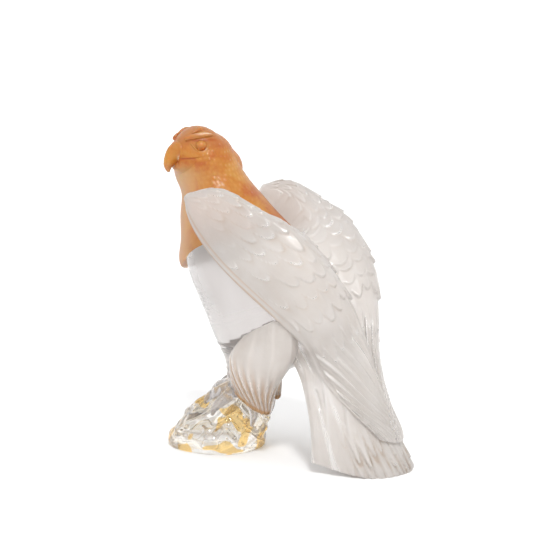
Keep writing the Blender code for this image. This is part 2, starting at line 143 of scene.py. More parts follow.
# Tail: outer face from its left corner round to the middle line, top to bottom
TAIL = [
    [(-98, 43, 150), (-125, 43, 155), (-150, 30, 160), (-166, 13, 162), (-170, 0, 162)],
    [(-117, 34, 113), (-142, 36, 118), (-165, 28, 124), (-182, 12, 126), (-185, 0, 126)],
    [(-135, 43, 88), (-158, 42, 90), (-180, 31, 92), (-193, 14, 93), (-197, 0, 93)],
    [(-149, 52, 50), (-175, 48, 48), (-199, 36, 46), (-215, 16, 45), (-219, 0, 45)],
    [(-155, 59, 13), (-188, 53, 5), (-219, 42, 0), (-236, 18, 0), (-240, 0, 0)],
]
TAIL_THICKNESS = 13.0
TAIL_FEATHERS, TAIL_QUILL_DEPTH = 10, 2.2
TAIL_THREADS, THREAD_DEPTH = 13, 0.6
TAIL_SINK = 2.2
TAIL_SEED = 5
# Points across the inner face, from one edge to the other; a point between the outer face and the rock
TAIL_INNER = (0.985, 0.015, 30)
TAIL_INSIDE = (-120, 0, 80)
# The rings of the foot are cut off on the floor, each this much over the next
FOOT_STEP = 0.02
# Rounded ends low on the tail: where each row ends, reach, depth in mm; how many stand side by side
TAIL_ROWS = [(0.60, 0.16, 4.4), (0.78, 0.18, 5.6), (0.97, 0.18, 6.0)]
TAIL_COLUMNS = 24
# Neck and mantle: forward, left, up, half length, half width
NECK = [
    (-33, 0, 190, 62, 36), (-31, 0, 203, 73, 43), (-31, 0, 218, 74, 48), (-33, 0, 236, 73, 50),
    (-19, 0, 262, 59, 46), (-8, 0, 284, 46, 42), (3, 1, 300, 42, 38), (9, 4, 316, 38, 35),
    (10, 6, 330, 33, 32), (10, 6, 343, 25, 25), (8, 5, 351, 12, 12),
]
# Hackles: rows and columns on neck and skull, depth in mm
NECK_HACKLES, SKULL_HACKLES = (30, 42), (17, 34)
HACKLE_DEPTH = 0.5
# Head, turned to the bird's left. Stations along its own axis: along, top, bottom, half width
HEAD_TURN = np.radians(62)
HEAD_AT = (12, 6, 334)
HEAD = [
    (-47, -19, -27, 4), (-42, -9, -35, 15), (-34, -0.5, -38, 23.5), (-22, 9, -38, 29), (-10, 19.4, -37, 32),
    (3, 25.6, -36, 33), (14, 25, -34, 31), (23, 20.5, -31, 26), (30, 14, -28, 20), (35, 7.5, -24, 13.5),
]
# Upper bill: along, up, half width, half height, slope of its axis in degrees
BILL = [
    (24, 0.5, 18, 10.5, 0), (32, -1.5, 13.0, 10.2, -8), (37.4, -5.6, 9.0, 10.0, -28),
    (40.6, -10.6, 6.6, 8.5, -50), (43.2, -15.7, 4.8, 6.3, -75), (44.2, -20.2, 3.2, 3.9, -95),
    (43.4, -24.6, 1.2, 1.3, -108),
]
LOWER_BILL = [(14, -18, 20, 8.5, 0), (25, -17.5, 14.5, 8, 0), (32, -17, 9.5, 7, 2),
              (37.0, -16.5, 5, 4.6, 6)]
CERE = 0.8
# Brow, fold over it, lid and eye: along, up, side, radius
BROW = [(3, 15.6, 25.0, 1.4), (9, 15.6, 25.0, 2.8), (17, 14.8, 22.0, 3.5), (24, 13.2, 17.0, 3.4),
        (29, 11.2, 12.8, 2.6)]
CROWN_FOLD = [(2, 21.6, 14, 0.6), (9, 21.6, 14.6, 2.0), (15, 20.6, 15.2, 2.7), (21, 18.0, 15.6, 1.6),
              (26, 15, 14, 0.5)]
EYE = (16.5, 4.2, 25.0, 6.0)
LID = [(26.5, 6.4, 20.6, 0.7), (21.5, -0.5, 24.8, 1.2), (14.5, -2.8, 27.6, 1.4), (9, 2.0, 30.0, 0.8)]
# Toes: forward, left, up, radius; the shank last
TOES = [
    [(-52, 30, 80, 9), (-34, 24, 76, 7.5), (-18, 19, 73, 6), (-8, 16, 66, 4.4), (-4, 15, 58, 1.6)],
    [(-52, 32, 80, 9), (-36, 32, 74, 7.5), (-20, 33, 67, 6), (-10, 33, 60, 4.4), (-6, 33, 51, 1.6)],
    [(-54, 34, 78, 9), (-44, 39, 70, 7.5), (-34, 43, 61, 6), (-26, 44, 53, 4.4), (-22, 44, 44, 1.6)],
    [(-50, 30, 78, 9), (-59, 29, 69, 8), (-64, 28, 58, 6.2), (-65, 27, 45, 4.4), (-62, 27, 33, 1.6)],
    [(-60, 33, 92, 15), (-53, 32, 80, 13), (-51, 31, 68, 10)],
]
# Rock: half length, half width, height; then share of its height, front, back, half width as shares
ROCK_SIZE = (53.0, 50.0, 77.0)
ROCK = [
    (0.00, 0.98, -1.00, 0.98), (0.06, 1.00, -1.03, 1.00), (0.20, 0.93, -1.04, 0.98),
    (0.34, 0.80, -1.04, 0.95), (0.48, 0.62, -1.05, 0.90), (0.62, 0.37, -1.04, 0.84),
    (0.76, 0.12, -1.00, 0.75), (0.88, -0.14, -0.95, 0.62), (0.96, -0.32, -0.88, 0.45),
    (1.00, -0.44, -0.78, 0.28),
]

# Golden patches in the rock, in the frame's metres: middle, reach across and up; the pattern's own drift
GOLD_PATCHES = [
    ((0.040, 0.070, 0.026), (0.016, 0.011)), ((0.048, 0.036, 0.008), (0.022, 0.005)),
    ((0.020, -0.040, 0.011), (0.012, 0.006)), ((0.026, 0.026, 0.071), (0.012, 0.008)),
    ((-0.034, 0.020, 0.030), (0.016, 0.010)), ((0.0, -0.045, 0.020), (0.012, 0.008)),
]
DRIFT = 0.025

# Paler satin painted toward the back and at the wrists, as painted light
PALE_SATIN = (0.77, 0.735, 0.71)
# Floor, in metres: reach, count of its sides, how far it lies under the object
FLOOR_REACH, FLOOR_SIDES, FLOOR_DROP = 6, 96, 0.0002
# Camera, in metres: place, way it looks; lens and sensor in mm
CAMERA_AT, CAMERA_WAY = (1.299, 0.835, 0.400), (-0.8544, -0.5032, -0.1295)
CAMERA_LENS, CAMERA_SENSOR = 92.69, 36.0
CAMERA_REACH = 50.0
# Light: way that the sun shines, its strength and width, strength of the sky
SUN_WAY = (-0.52, -0.38, -0.75)
SUN_STRENGTH, SUN_WIDTH = 1.7, np.radians(10)
SKY_STRENGTH = 1.32


# Surfaces

def stacked(*parts):
    """The parts spread to one shape and set side by side along a new last axis."""
    return np.stack(np.broadcast_arrays(*parts), -1)


def grid(shape):
    """Shares from 0 to 1 down the rows and along the columns of a grid."""
    rows, columns = shape
    return np.meshgrid(np.linspace(0, 1, rows), np.linspace(0, 1, columns), indexing="ij")


def round_angles(count):
    """Angles spaced evenly round a full turn."""
    return np.linspace(0, 2 * np.pi, count, endpoint=False)


def share_of_turn(c, s):
    """Where each point of an oval lies, as a share of a full turn, from its cosine and sine."""
    return (np.arctan2(s, c) / (2 * np.pi)) % 1


def natural_weights(count, places):
    """Weights of a natural cubic spline through evenly numbered points, for places from 0 to 1."""
    n = count - 1
    eye = np.eye(count)
    system, bend = eye.copy(), np.zeros((count, count))
    for i in range(1, n):
        system[i, i - 1:i + 2] = 1, 4, 1
        bend[i, i - 1:i + 2] = 6, -12, 6
    bend = np.linalg.solve(system, bend)
    x = np.clip(places, 0, 1) * n
    i = np.minimum(x.astype(int), n - 1)
    t = (x - i)[..., None]
    curved = bend[i] * ((1 - t) ** 3 - (1 - t)) + bend[i + 1] * (t ** 3 - t)
    return curved / 6 + eye[i] * (1 - t) + eye[i + 1] * t


def curve(points, places):
    """Natural cubic spline through points, at places from 0 to 1."""
    points = np.asarray(points, float)
    return natural_weights(len(points), np.asarray(places, float)) @ points


def patch(net, s, t):
    """Tensor surface: spline weights along the net's rows times spline weights along its columns."""
    net = np.asarray(net, float)
    rows = natural_weights(net.shape[0], s[:, 0])
    columns = natural_weights(net.shape[1], t[0])
    return np.einsum("ra,cb,abx->rcx", rows, columns, net)


def outward(points, away_from):
    """Unit normals of a grid, cross products of its two directions, facing away from a point inside."""
    n = np.cross(np.gradient(points, axis=0), np.gradient(points, axis=1))
    n /= np.maximum(np.linalg.norm(n, axis=2, keepdims=True), 1e-9)
    i, j = n.shape[0] // 2, n.shape[1] // 2
    return n if n[i, j] @ (points[i, j] - np.asarray(away_from, float)) > 0 else -n


def loft(rings):
    """Closed form through a stack of rings: quads between rings, one face at each end."""
    rings = np.asarray(rings, float)
    k, m, _ = rings.shape
    start = np.arange(k - 1)[:, None] * m
    j = np.arange(m)
    nxt = (j + 1) % m
    faces = stacked(start + j, start + nxt, start + m + nxt, start + m + j).reshape(-1, 4).tolist()
    faces += [list(range(m - 1, -1, -1)), list(range((k - 1) * m, k * m))]
    return rings.reshape(-1, 3), faces


def mirrored(form):
    """The same form on the bird's other side, its faces turned round to look outward."""
    verts, faces, *paint = form
    return (verts * (1, -1, 1), [face[::-1] for face in faces], *paint)


def oval(count, power):
    """Superellipse: cosine and sine, each to the power 2 / power."""
    angle = round_angles(count)
    c, s = np.cos(angle), np.sin(angle)
    return np.sign(c) * np.abs(c) ** (2 / power), np.sign(s) * np.abs(s) ** (2 / power)


def tube(path, count, steps):
    """Round limb: circles square to a spline through points that carry their own radius."""
    points = curve(path, np.linspace(0, 1, steps))
    heading = np.gradient(points[:, :3], axis=0)
    heading /= np.linalg.norm(heading, axis=1, keepdims=True)
    side = np.cross(heading, (0.0, 1.0, 0.1))
    side /= np.linalg.norm(side, axis=1, keepdims=True)
    rise = np.cross(side, heading)
    angle = round_angles(count)[None, :, None]
    circle = np.cos(angle) * side[:, None] + np.sin(angle) * rise[:, None]
    return loft(points[:, None, :3] + points[:, None, 3:4] * circle)


def chance(row, column, seed):
    """The same number from 0 to 1 for the same feather each time, from the fraction of a large sine."""
    return np.abs(np.sin(row * 12.9898 + column * 78.233 + seed * 37.719) * 43758.5453) % 1


def smooth(low, high, x):
    """Eased step from 0 at low to 1 at high, 3 x squared less 2 x cubed; it falls if high is below low."""
    x = np.clip((x - low) / (high - low), 0, 1)
    return x * x * (3 - 2 * x)


def bell(x, middle, reach):
    """1 at the middle, falling as the exponential of the squared distance over the reach."""
    return np.exp(-((x - middle) / reach) ** 2)


def lapped_feathers(s, t, rows, columns, seed, swell=0.45):
    """Height in mm of feathers lapped like tiles.

    A row ends on a scalloped line, tip + reach * (0.38 - |x| to the power 2.4 + chance), x from -1 to 1
    across each feather. Between one row's line and the next the height climbs from low to high, times a
    dome of the swell across it, with a fine groove for the shaft. Also gives a painted highlight on the
    rims just inside each line and painted shade in the hollows just behind it, a bell and a decay of the
    distance to the line, and the area past the last row.
    """
    height, rim_glint, hollow_shade = np.zeros_like(s), np.zeros_like(s), np.zeros_like(s)
    open_area = np.ones(s.shape, bool)
    before = np.full_like(s, rows[0][0] - 0.06)
    for row, (tip, reach, depth) in enumerate(rows):
        across = t * columns + 0.5 * (row % 2) + 0.2 * np.sin(2.4 * row + seed)
        column = np.floor(across)
        x = 2 * (across - column) - 1
        luck = chance(row, column, seed)
        edge = tip + reach * (0.38 - np.abs(x) ** 2.4 + 0.7 * (luck - 0.5))
        here = open_area & (s < edge)
        climb = np.clip((s - before) / np.maximum(edge - before, 1e-3), 0, 1)
        dome = 1 - swell * x ** 2
        shaft = 0.10 * bell(x, 0, 0.09) * smooth(0.15, 0.6, climb)
        feather = depth * (dome * (0.2 + 0.8 * climb ** 1.4) * (0.6 + 0.6 * luck) - shaft)
        height = np.where(here, feather, height)
        # Painted highlight along the rims, strong on only a few of them
        lit = chance(row, column, seed + 7) ** 2
        bright = bell(s, edge, 0.006) * (1 - x ** 4) * (0.25 + 0.75 * lit)
        rim_glint = np.where(here, bright, rim_glint)
        # Painted shade in the hollows, fading behind each row's line
        hollow_shade = np.where(here, np.exp(-(s - before) / 0.012) * (row > 0), hollow_shade)
        open_area &= ~here
        before = edge
    return height, rim_glint, hollow_shade, open_area


def beads(s, t, rows, columns, seed):
    """Small plump feathers in wavering staggered rows: height 0 to 1, and a painted highlight atop some.

    Each is a sine hump along its row times one across it, to the power 1.4, scaled by chance.
    """
    down = s * rows + 0.25 * np.sin(2 * np.pi * 5 * t + seed)
    row = np.floor(down)
    across = t * columns + 0.5 * (row % 2) + 0.2 * np.sin(5 * row)
    column = np.floor(across)
    hump = (np.sin(np.pi * (down - row)) * np.sin(np.pi * (across - column))) ** 1.4
    luck = chance(row, column, seed)
    return hump * (0.25 + 0.75 * luck), 0.25 * smooth(0.75, 1.0, hump) * luck ** 3


def evened(pattern, s, t, *settings):
    """Mean of a pattern over nine places in each cell of the grid, so that its edges run smooth."""
    step_s, step_t = (s[-1, 0] - s[0, 0]) / (len(s) - 1), 1 / (s.shape[1] - 1)
    thirds = (-0.33, 0, 0.33)
    parts = [pattern(s + a * step_s, t + b * step_t, *settings) for a in thirds for b in thirds]
    return [np.mean(np.asarray(part, float), axis=0) for part in zip(*parts)]


def lapped_quills(s, t, count, seed):
    """Height 0 to 1 of long quills side by side, and a painted highlight along their high edges.

    Across each quill a slat climbs, then falls off in its last fifth, with a soft shaft line on it; the
    painted highlight lies on its high edge. Along it the height wavers slowly.
    """
    across = t * count
    column = np.floor(across)
    part = across - column
    luck = chance(0, column, seed)
    slat = 0.1 + 0.9 * part * (1 - smooth(0.80, 1.0, part))
    shaft = 0.15 * bell(part, 0.45, 0.07)
    waver = 0.85 + 0.15 * np.sin(14 * s + 6 * luck)
    return slat * (0.8 + 0.3 * luck) * waver - shaft, bell(part, 0.84, 0.09) * luck


# The bird's pieces

def wing_carving(s, t, seed, strength, bolder):
    """Height in mm and paint of a wing's outer face: painted highlights, shade and amber reflection.

    The rows of coverts slant back from the leading edge, fade on the smooth shoulder, and give way past
    the last row to long quills; a low border follows the leading edge. The long coverts at the back of
    the wing stand bolder by the given share. Products of eased steps in s and t bound these zones.
    """
    bend = s - ROW_SLANT * smooth(0, 0.55, t) * (1 - smooth(0.42, 0.62, s))
    feathers, rim_glint, hollow_shade, beyond = evened(lapped_feathers, bend, t * 1.02 + 0.03, COVERT_ROWS,
                                           WING_COLUMNS, seed)
    crossing = QUILL_CROSSING * (s - QUILL_START)
    quills, quill_glint = evened(lapped_quills, s, t - crossing, WING_QUILLS, seed + 3)
    calm = smooth(0.30, 0.38, bend) * (1 - smooth(0.44, 0.50, bend)) * (1 - smooth(0.30, 0.42, t))
    bold = 1 + bolder * smooth(0.40, 0.62, t) * smooth(0.18, 0.28, s) * (1 - smooth(0.60, 0.70, s))
    feathers = strength * bold * feathers * (1 - 0.7 * calm) + QUILL_DEPTH * quills * beyond
    # Painted highlight on the quills' edges, added to that on the coverts' rims
    rim_glint = rim_glint + 0.9 * quill_glint * beyond
    shoulder = 1 - 0.8 * (1 - smooth(0.16, 0.36, t)) * (1 - smooth(0.16, 0.30, bend))
    inner = smooth(BORDER, BORDER + 0.03, t) * smooth(0.0, 0.035, s) * shoulder
    border = BORDER_HEIGHT * smooth(0, 0.015, t) * (1 - smooth(BORDER - 0.012, BORDER + 0.004, t))
    border *= smooth(0.01, 0.05, s)
    height = feathers * inner + border * (1 - smooth(0.25, 0.4, s)) - SINK
    height *= smooth(0, 0.02, t) * smooth(0, 0.03, s) * (1 - smooth(0.985, 1.0, s))
    # Painted reflection of the amber: a thin line on the leading edge and a fainter one at the border
    amber_reflection = bell(t, 0.006, 0.006) + 0.5 * bell(t, BORDER, 0.006)
    amber_reflection *= smooth(0.02, 0.1, s) * (1 - smooth(0.40, 0.55, s))
    # Painted shade in the hollows behind each row, and over the bolder coverts
    shade = np.clip(hollow_shade * inner / strength ** 2 + BOLD_SHADE * (bold - 1), 0, 1)
    return height, stacked(rim_glint * inner, shade, amber_reflection)


def wing(seed, strength, bolder):
    """Wing: outer face patch plus the carving's height along its normals, closed round the inside.

    The inside runs in straight lines from the last column over the two deep points to the first.
    """
    s, t = grid(WING_GRID)
    net = np.asarray(WING, float)
    face = patch(net[:, :6], s, t)
    height, outer_paint = wing_carving(s, t, seed, strength, bolder)
    outer = face + outward(face, WING_INSIDE) * height[..., None]
    weights = natural_weights(len(net), s[:, 0])
    deep = weights @ net[:, 6]
    front = weights @ net[:, 7]
    first, last = outer[:, 0], outer[:, -1]
    inside = [last * (1 - k) + deep * k for k in (0.33, 0.67)]
    inside += [deep * (1 - k) + front * k for k in (0, 0.25, 0.5, 0.75, 1)]
    inside += [front * (1 - k) + first * k for k in (0.33, 0.67)]
    inside_paint = np.zeros((len(outer), len(inside), 3))
    return (*loft(np.concatenate([outer, np.stack(inside, axis=1)], axis=1)),
            np.concatenate([outer_paint, inside_paint], axis=1).reshape(-1, 3))


def trunk():
    """Polished trunk: a stack of ovals, with long shallow waves down the breast.

    Groups of low ripples, sines of the height under bells, cross both edges of the breast.
    """
    count, columns = TRUNK_GRID
    rows = np.linspace(0, 1, count)
    c, s = oval(columns, 2.2)
    angle = np.arctan2(s, c)
    up, front, back, width = curve(TRUNK, rows).T
    wave = 0.35 * np.cos(7 * angle[None] + 4 * rows[:, None]) * smooth(0.1, 0.3, rows)[:, None]
    lines = sum(depth * np.sin(2 * np.pi * up / RIPPLE_LENGTH) * bell(up, middle, reach)
                for middle, reach, depth in RIPPLES)
    wave = wave + lines[:, None] * bell(np.abs(angle[None]), 0.75, 0.45)
    f = (front + back)[:, None] / 2 + c[None] * ((front - back)[:, None] / 2 + wave)
    l = s[None] * (width[:, None] + wave)
    return loft(stacked(f, l, up[:, None]))


def parting(above):
    """Block over the parting face, a keel rounded by a hyperbola, that rises to the back and the sides."""
    f, l = np.meshgrid(np.linspace(*BLOCK_FORWARD), np.linspace(*BLOCK_ACROSS), indexing="ij")
    keel = np.sqrt(l ** 2 + KEEL ** 2) - KEEL
    floor = PARTING_LOW + BACK_RISE * (PARTING_FRONT - f) + SIDE_RISE * keel + above
    low = stacked(f, l, floor)
    high = stacked(f, l, BLOCK_TOP)
    return loft(np.concatenate([low, high[:, ::-1]], axis=1))


def thigh_carving(s, t, seed):
    """Height in mm, gleam (a painted highlight), amber tint and strands of a thigh.

    Soft slats lean round it and give way lower down to strands, absolute cosines across the same lanes.
    """
    lane = t - 0.28 * s + 0.14 * smooth(0.45, 1, s) * np.sin(2 * np.pi * (t - 0.45))
    slats, edges = lapped_quills(s, lane % 1, THIGH_SLATS, seed)
    strand = np.abs(np.cos(np.pi * (THIGH_STRANDS * lane + 0.3 * np.sin(9 * s))))
    low = smooth(0.47, 0.76, s)
    # Painted highlight on the slats' edges, then on the tops of the strands
    gleam = 0.25 * edges * (1 - low) + 0.8 * smooth(0.65, 1, strand) * low
    foot = (0.25 + 0.55 * smooth(0.8, 0.2, strand)) * smooth(0.50, 0.80, s) + smooth(0.955, 0.975, s)
    return SLAT_DEPTH * slats * (1 - low) + STRAND_DEPTH * strand * low, gleam, foot, strand


def thigh(step_forward, share_of_length, seed):
    """Thigh: slanting ovals with long soft slats down them that run together into strands at the foot."""
    count, columns = THIGH_GRID
    rows = np.linspace(0, 1, count)
    f, l, u, length, width, slope = curve(THIGH, rows).T
    shift = curve(np.array(step_forward, float)[:, None], rows)[:, 0]
    angle = round_angles(columns)
    s, t = np.meshgrid(rows, angle / (2 * np.pi), indexing="ij")
    height, gleam, foot, strand = evened(thigh_carving, s, t, seed)
    height, foot = height * smooth(0.0, 0.1, s), np.clip(foot, 0, 1)
    c, si = np.cos(angle)[None], np.sin(angle)[None]
    along = (length[:, None] * share_of_length + height - THIGH_SINK) * c
    fringe = FRINGE * (strand - 0.5) * smooth(0.8, 1.0, s)
    ring_f = f[:, None] + shift[:, None] + along
    ring_l = l[:, None] + (width[:, None] + height - THIGH_SINK) * si
    ring_u = u[:, None] + slope[:, None] * along + fringe
    return (*loft(stacked(ring_f, ring_l, ring_u)), stacked(gleam, 0, foot).reshape(-1, 3))


def tail_carving(s, side):
    """Height in mm, painted highlight and shade of the tail; side is the distance to the fan's nearer edge.

    Lapped quills and fine wavering threads run down it and give way low down to rounded feather ends.
    Two ridges follow each edge and one short notch lies between them, bells of the distance.
    """
    slats, edges = lapped_quills(s, 0.5 - side + 0.03 * np.sin(5 * s), TAIL_FEATHERS, TAIL_SEED)
    thread = np.abs(np.cos(np.pi * (TAIL_THREADS * side + 1.1 * np.sin(2 * s + 5 * side))))
    tips, rims, gaps, _ = lapped_feathers(s - 0.2 * side, side - 0.1 * s, TAIL_ROWS, TAIL_COLUMNS,
                                          TAIL_SEED, 0.9)
    ends = smooth(0.70, 0.80, s + 0.04 * np.sin(50 * side)) * smooth(0.13, 0.2, side)
    flank = bell(side, 0.03, 0.01) + bell(side, 0.09, 0.01)
    flank *= smooth(0.42, 0.3, s)
    notch = bell(side, 0.075, 0.012) * smooth(0.5, 0.54, s) * smooth(0.68, 0.62, s)
    threads = THREAD_DEPTH * thread * smooth(0.35, 0.7, s)
    height = (TAIL_QUILL_DEPTH * slats + threads + 1.2 * flank - 2.5 * notch) * (1 - ends)
    # Painted highlight on the threads, the quills' edges and the ridges by the edges
    gleam = 0.5 * smooth(0.86, 1.0, thread) * smooth(0.4, 0.7, s) + 0.3 * edges + 0.5 * flank
    gleam = gleam * (1 - ends)
    # Painted shade in the gaps between the rounded ends and where they lie low
    dips = smooth(2.2, 0.6, tips)
    return height + tips * ends, gleam + 1.5 * rims * ends, 1.6 * (gaps + dips) * ends


def tail():
    """Tail fan: outer patch with the carving on it, foot cut off on the floor.

    Its inner face is the same patch, moved in along its normals by the thickness.
    """
    half = np.asarray(TAIL, float)
    net = np.concatenate([half, (half * (1, -1, 1))[:, -2::-1]], axis=1)
    count, columns = TAIL_GRID
    s, t = grid(TAIL_GRID)
    side = np.minimum(t, 1 - t)
    height, gleam, hollow_shade = evened(tail_carving, s, side)
    height = (height - TAIL_SINK) * smooth(0.02, 0.3, s) * smooth(0.0, 0.04, side)
    face = patch(net, s, t)
    outer = face + outward(face, TAIL_INSIDE) * height[..., None]
    behind = patch(net, *np.meshgrid(s[:, 0], np.linspace(*TAIL_INNER), indexing="ij"))
    inner = behind - outward(behind, TAIL_INSIDE) * TAIL_THICKNESS
    fan = np.concatenate([outer, inner], axis=1)
    fan[..., 2] = np.maximum(fan[..., 2], FOOT_STEP * np.arange(count - 1, -1, -1)[:, None])
    paint = np.zeros((*fan.shape[:2], 3))
    # Painted highlight and painted shade on the outer face only
    paint[:, :columns] = stacked(gleam, hollow_shade, 0)
    return (*loft(fan), paint.reshape(-1, 3))


def neck():
    """Neck and mantle: a stack of ovals, small low hackles round the upper part, smooth below."""
    count, columns = NECK_GRID
    rows = np.linspace(0, 1, count)
    f, l, u, length, width = curve(NECK, rows).T
    c, si = oval(columns, 2.1)
    s, t = np.meshgrid(rows, share_of_turn(c, si), indexing="ij")
    down = 1 - s
    hackles, rim_glint = evened(beads, down, t + 0.1 * down, *NECK_HACKLES, 9)
    behind = 0.2 + 0.8 * smooth(0.22, 0.36, np.minimum(t, 1 - t))
    spread = smooth(0.40, 0.62, s) * (1 - smooth(0.95, 0.99, s)) * behind
    height = HACKLE_DEPTH * hackles * spread - SINK
    f2 = f[:, None] + c[None] * (length[:, None] + height)
    l2 = l[:, None] + si[None] * (width[:, None] + height)
    # Painted shade in deeper colour between the hackles, with the hackles' painted highlight
    between = 0.2 * smooth(0.30, 0.0, hackles) * spread
    paint = stacked(rim_glint * spread, 0, between)
    return (*loft(stacked(f2, l2, u[:, None])), paint.reshape(-1, 3))


def head_place(along, side, up):
    """Point of the head's own frame in the bird's directions."""
    c, s = np.cos(HEAD_TURN), np.sin(HEAD_TURN)
    ahead, left = HEAD_AT[0] + along * c - side * s, HEAD_AT[1] + along * s + side * c
    return stacked(ahead, left, HEAD_AT[2] + up)


def face_features(along, up):
    """Relief of the face in mm, the same on both sides, and its deep colour, partly painted shade.

    Bells over the side view: the socket round the eye, the cheek's swell and the line of the mouth in
    relief; a band behind the cheek and the ear in colour, painted shade under the brow and along the mouth.
    """
    socket = -2.4 * np.exp(-((along - 17) / 8.5) ** 2 - ((up - 4) / 5.5) ** 2)
    mouth_line = -9.5 - 0.03 * (along - 14)
    mouth = -1.3 * bell(up, mouth_line, 0.9) * smooth(8, 13, along)
    cheek = 1.0 * np.exp(-((along - 6) / 9) ** 2 - ((up + 12) / 8) ** 2)
    band = bell(along - 9 - 2 * np.sin(0.4 * up), 0, 3.0)
    band = band * smooth(-34, -26, up) * smooth(2, -6, up)
    # Painted shade under the brow
    under_brow = bell(up, 11.0, 1.6) * smooth(-4, 4, along) * smooth(30, 22, along)
    ear = np.exp(-((along + 4) / 6) ** 2 - ((up + 27) / 5) ** 2)
    # Painted shade along the line of the mouth
    mouth_shade = bell(up, mouth_line, 1.5) * smooth(4, 12, along)
    return socket + mouth + cheek, np.clip(band + under_brow + 0.8 * ear + mouth_shade, 0, 1)


def head():
    """Skull: ovals along the head's axis, small low hackles over the crown and cheeks."""
    count, columns = HEAD_GRID
    rows = np.linspace(0, 1, count)
    c, si = oval(columns, 2.15)
    along, top, bottom, width = curve(HEAD, rows).T
    s, t = np.meshgrid(rows, share_of_turn(c, si), indexing="ij")
    small, rim_glint = evened(beads, 1 - s, t, *SKULL_HACKLES, 4)
    spread = (1 - smooth(0.66, 0.84, s)) * smooth(0.03, 0.2, s)
    spread = spread * (0.25 + 0.75 * smooth(-0.3, 0.5, si[None] - 3 * (s - 0.45)))
    flat_up = (top + bottom)[:, None] / 2 + si[None] * (top - bottom)[:, None] / 2
    features, deep = face_features(along[:, None], flat_up)
    height = HACKLE_DEPTH * small * spread - SINK + features * smooth(0.35, 0.8, np.abs(c))[None]
    side = c[None] * (width[:, None] + height)
    up = (top + bottom)[:, None] / 2 + si[None] * ((top - bottom)[:, None] / 2 + height)
    # Deep colour: the face's blotches and painted shade, and more painted shade between the hackles
    deep = deep * smooth(0.3, 0.7, np.abs(c))[None] + 0.1 * smooth(0.30, 0.0, small) * spread
    paint = stacked(rim_glint * spread, 0, np.clip(deep, 0, 1))
    return (*loft(head_place(along[:, None], side, up)), paint.reshape(-1, 3))


def bill(stations, count, steps, ridge):
    """Bill: ovals square to a bent axis, with a raised ridge round the root for the cere.

    A bell in both directions gives the painted highlight on its side.
    """
    rows = np.linspace(0, 1, steps)
    c, s = oval(count, 2.0)
    along, up, width, height, slope = curve(stations, rows).T
    slope = np.radians(slope)
    cere = ridge * bell(rows, 0.2, 0.035)
    width, height = width + cere, height + cere
    ring_along = along[:, None] - np.sin(slope)[:, None] * s[None] * height[:, None]
    ring_up = up[:, None] + np.cos(slope)[:, None] * s[None] * height[:, None]
    form = loft(head_place(ring_along, c[None] * width[:, None], ring_up))
    level = np.arcsin(np.clip(s, -1, 1))[None]
    bright = bell(rows, 0.33, 0.06)[:, None] * bell(level, -0.5, 0.28)
    return (*form, (bright * (ridge > 0)).reshape(-1, 1) * (1, 0, 0))


def head_rod(stations, count=16, steps=28, gleam=0.0):
    """Round rod in the head's frame through points (along, up, side, radius), rings square to its path.

    The gleam is a painted highlight, a bell over its upper outer edge, strongest near its rear third.
    """
    path = curve(stations, np.linspace(0, 1, steps))
    centre = head_place(path[:, 0], path[:, 2], path[:, 1])
    along_it = bell(np.linspace(0, 1, steps), 0.3, 0.22)[:, None]
    round_it = bell(round_angles(count), 0.8, 0.45)[None]
    bright = (gleam * along_it * round_it).reshape(-1, 1)
    return (*tube(np.concatenate([centre, path[:, 3:4]], axis=1), count, steps), bright * (1, 0, 0))


def eyeball():
    """Ball by polar angle and turn, with painted shade in deep colour on its lower half."""
    along, up, side, radius = EYE
    polar = np.linspace(0.08, np.pi - 0.08, 16)[:, None]
    angle = round_angles(28)[None]
    rise = np.sin(polar) * np.sin(angle)
    form = loft(head_place(along + radius * np.sin(polar) * np.cos(angle),
                           side + radius * np.cos(polar), up + radius * rise))
    # Painted shade on the lower half of the eye
    below = 0.8 * smooth(0.5, -0.7, rise).reshape(-1, 1)
    return (*form, below * (0, 0, 1))


def head_mirror(form):
    """The same feature on the other side of the head."""
    verts, faces, *paint = form
    across = np.array([-np.sin(HEAD_TURN), np.cos(HEAD_TURN), 0.0])
    depth = (verts - np.array(HEAD_AT, float)) @ across
    return (verts - 2 * depth[:, None] * across, [face[::-1] for face in faces], *paint)


def rock():
    """Boulder: oval stack whose radius swells by sums of sines round it and up it."""
    count, columns = ROCK_GRID
    share, front, back, width = curve(ROCK, np.linspace(0, 1, count)).T
    c, s = oval(columns, 2.35)
    length, half, height = ROCK_SIZE
    a, h = round_angles(columns)[None], share[:, None]
    wave = np.sin(3 * a + 9 * h) + 0.8 * np.sin(5 * a - 13 * h + 1.0) + 0.6 * np.sin(8 * a + 17 * h + 2.0)
    fine = 0.45 * np.sin(13 * a - 21 * h + 0.7) + 0.3 * np.sin(19 * a + 31 * h + 2.6)
    wave = (2.2 * wave + 1.3 * fine) * np.minimum(1.0, 4 * h)
    f0 = ((front + back) / 2 * length)[:, None]
    f, l = c[None] * ((front - back) / 2 * length)[:, None], s[None] * (width * half)[:, None]
    r = np.maximum(np.hypot(f, l), 1e-6)
    f, l = f0 + f * (1 + wave / r), l * (1 + wave / r)
    return loft(stacked(f, l, h * height))


# Meshes

def placed(name, data):
    """A new object in the scene."""
    made = bpy.data.objects.new(name, data)
    scene.collection.objects.link(made)
    return made


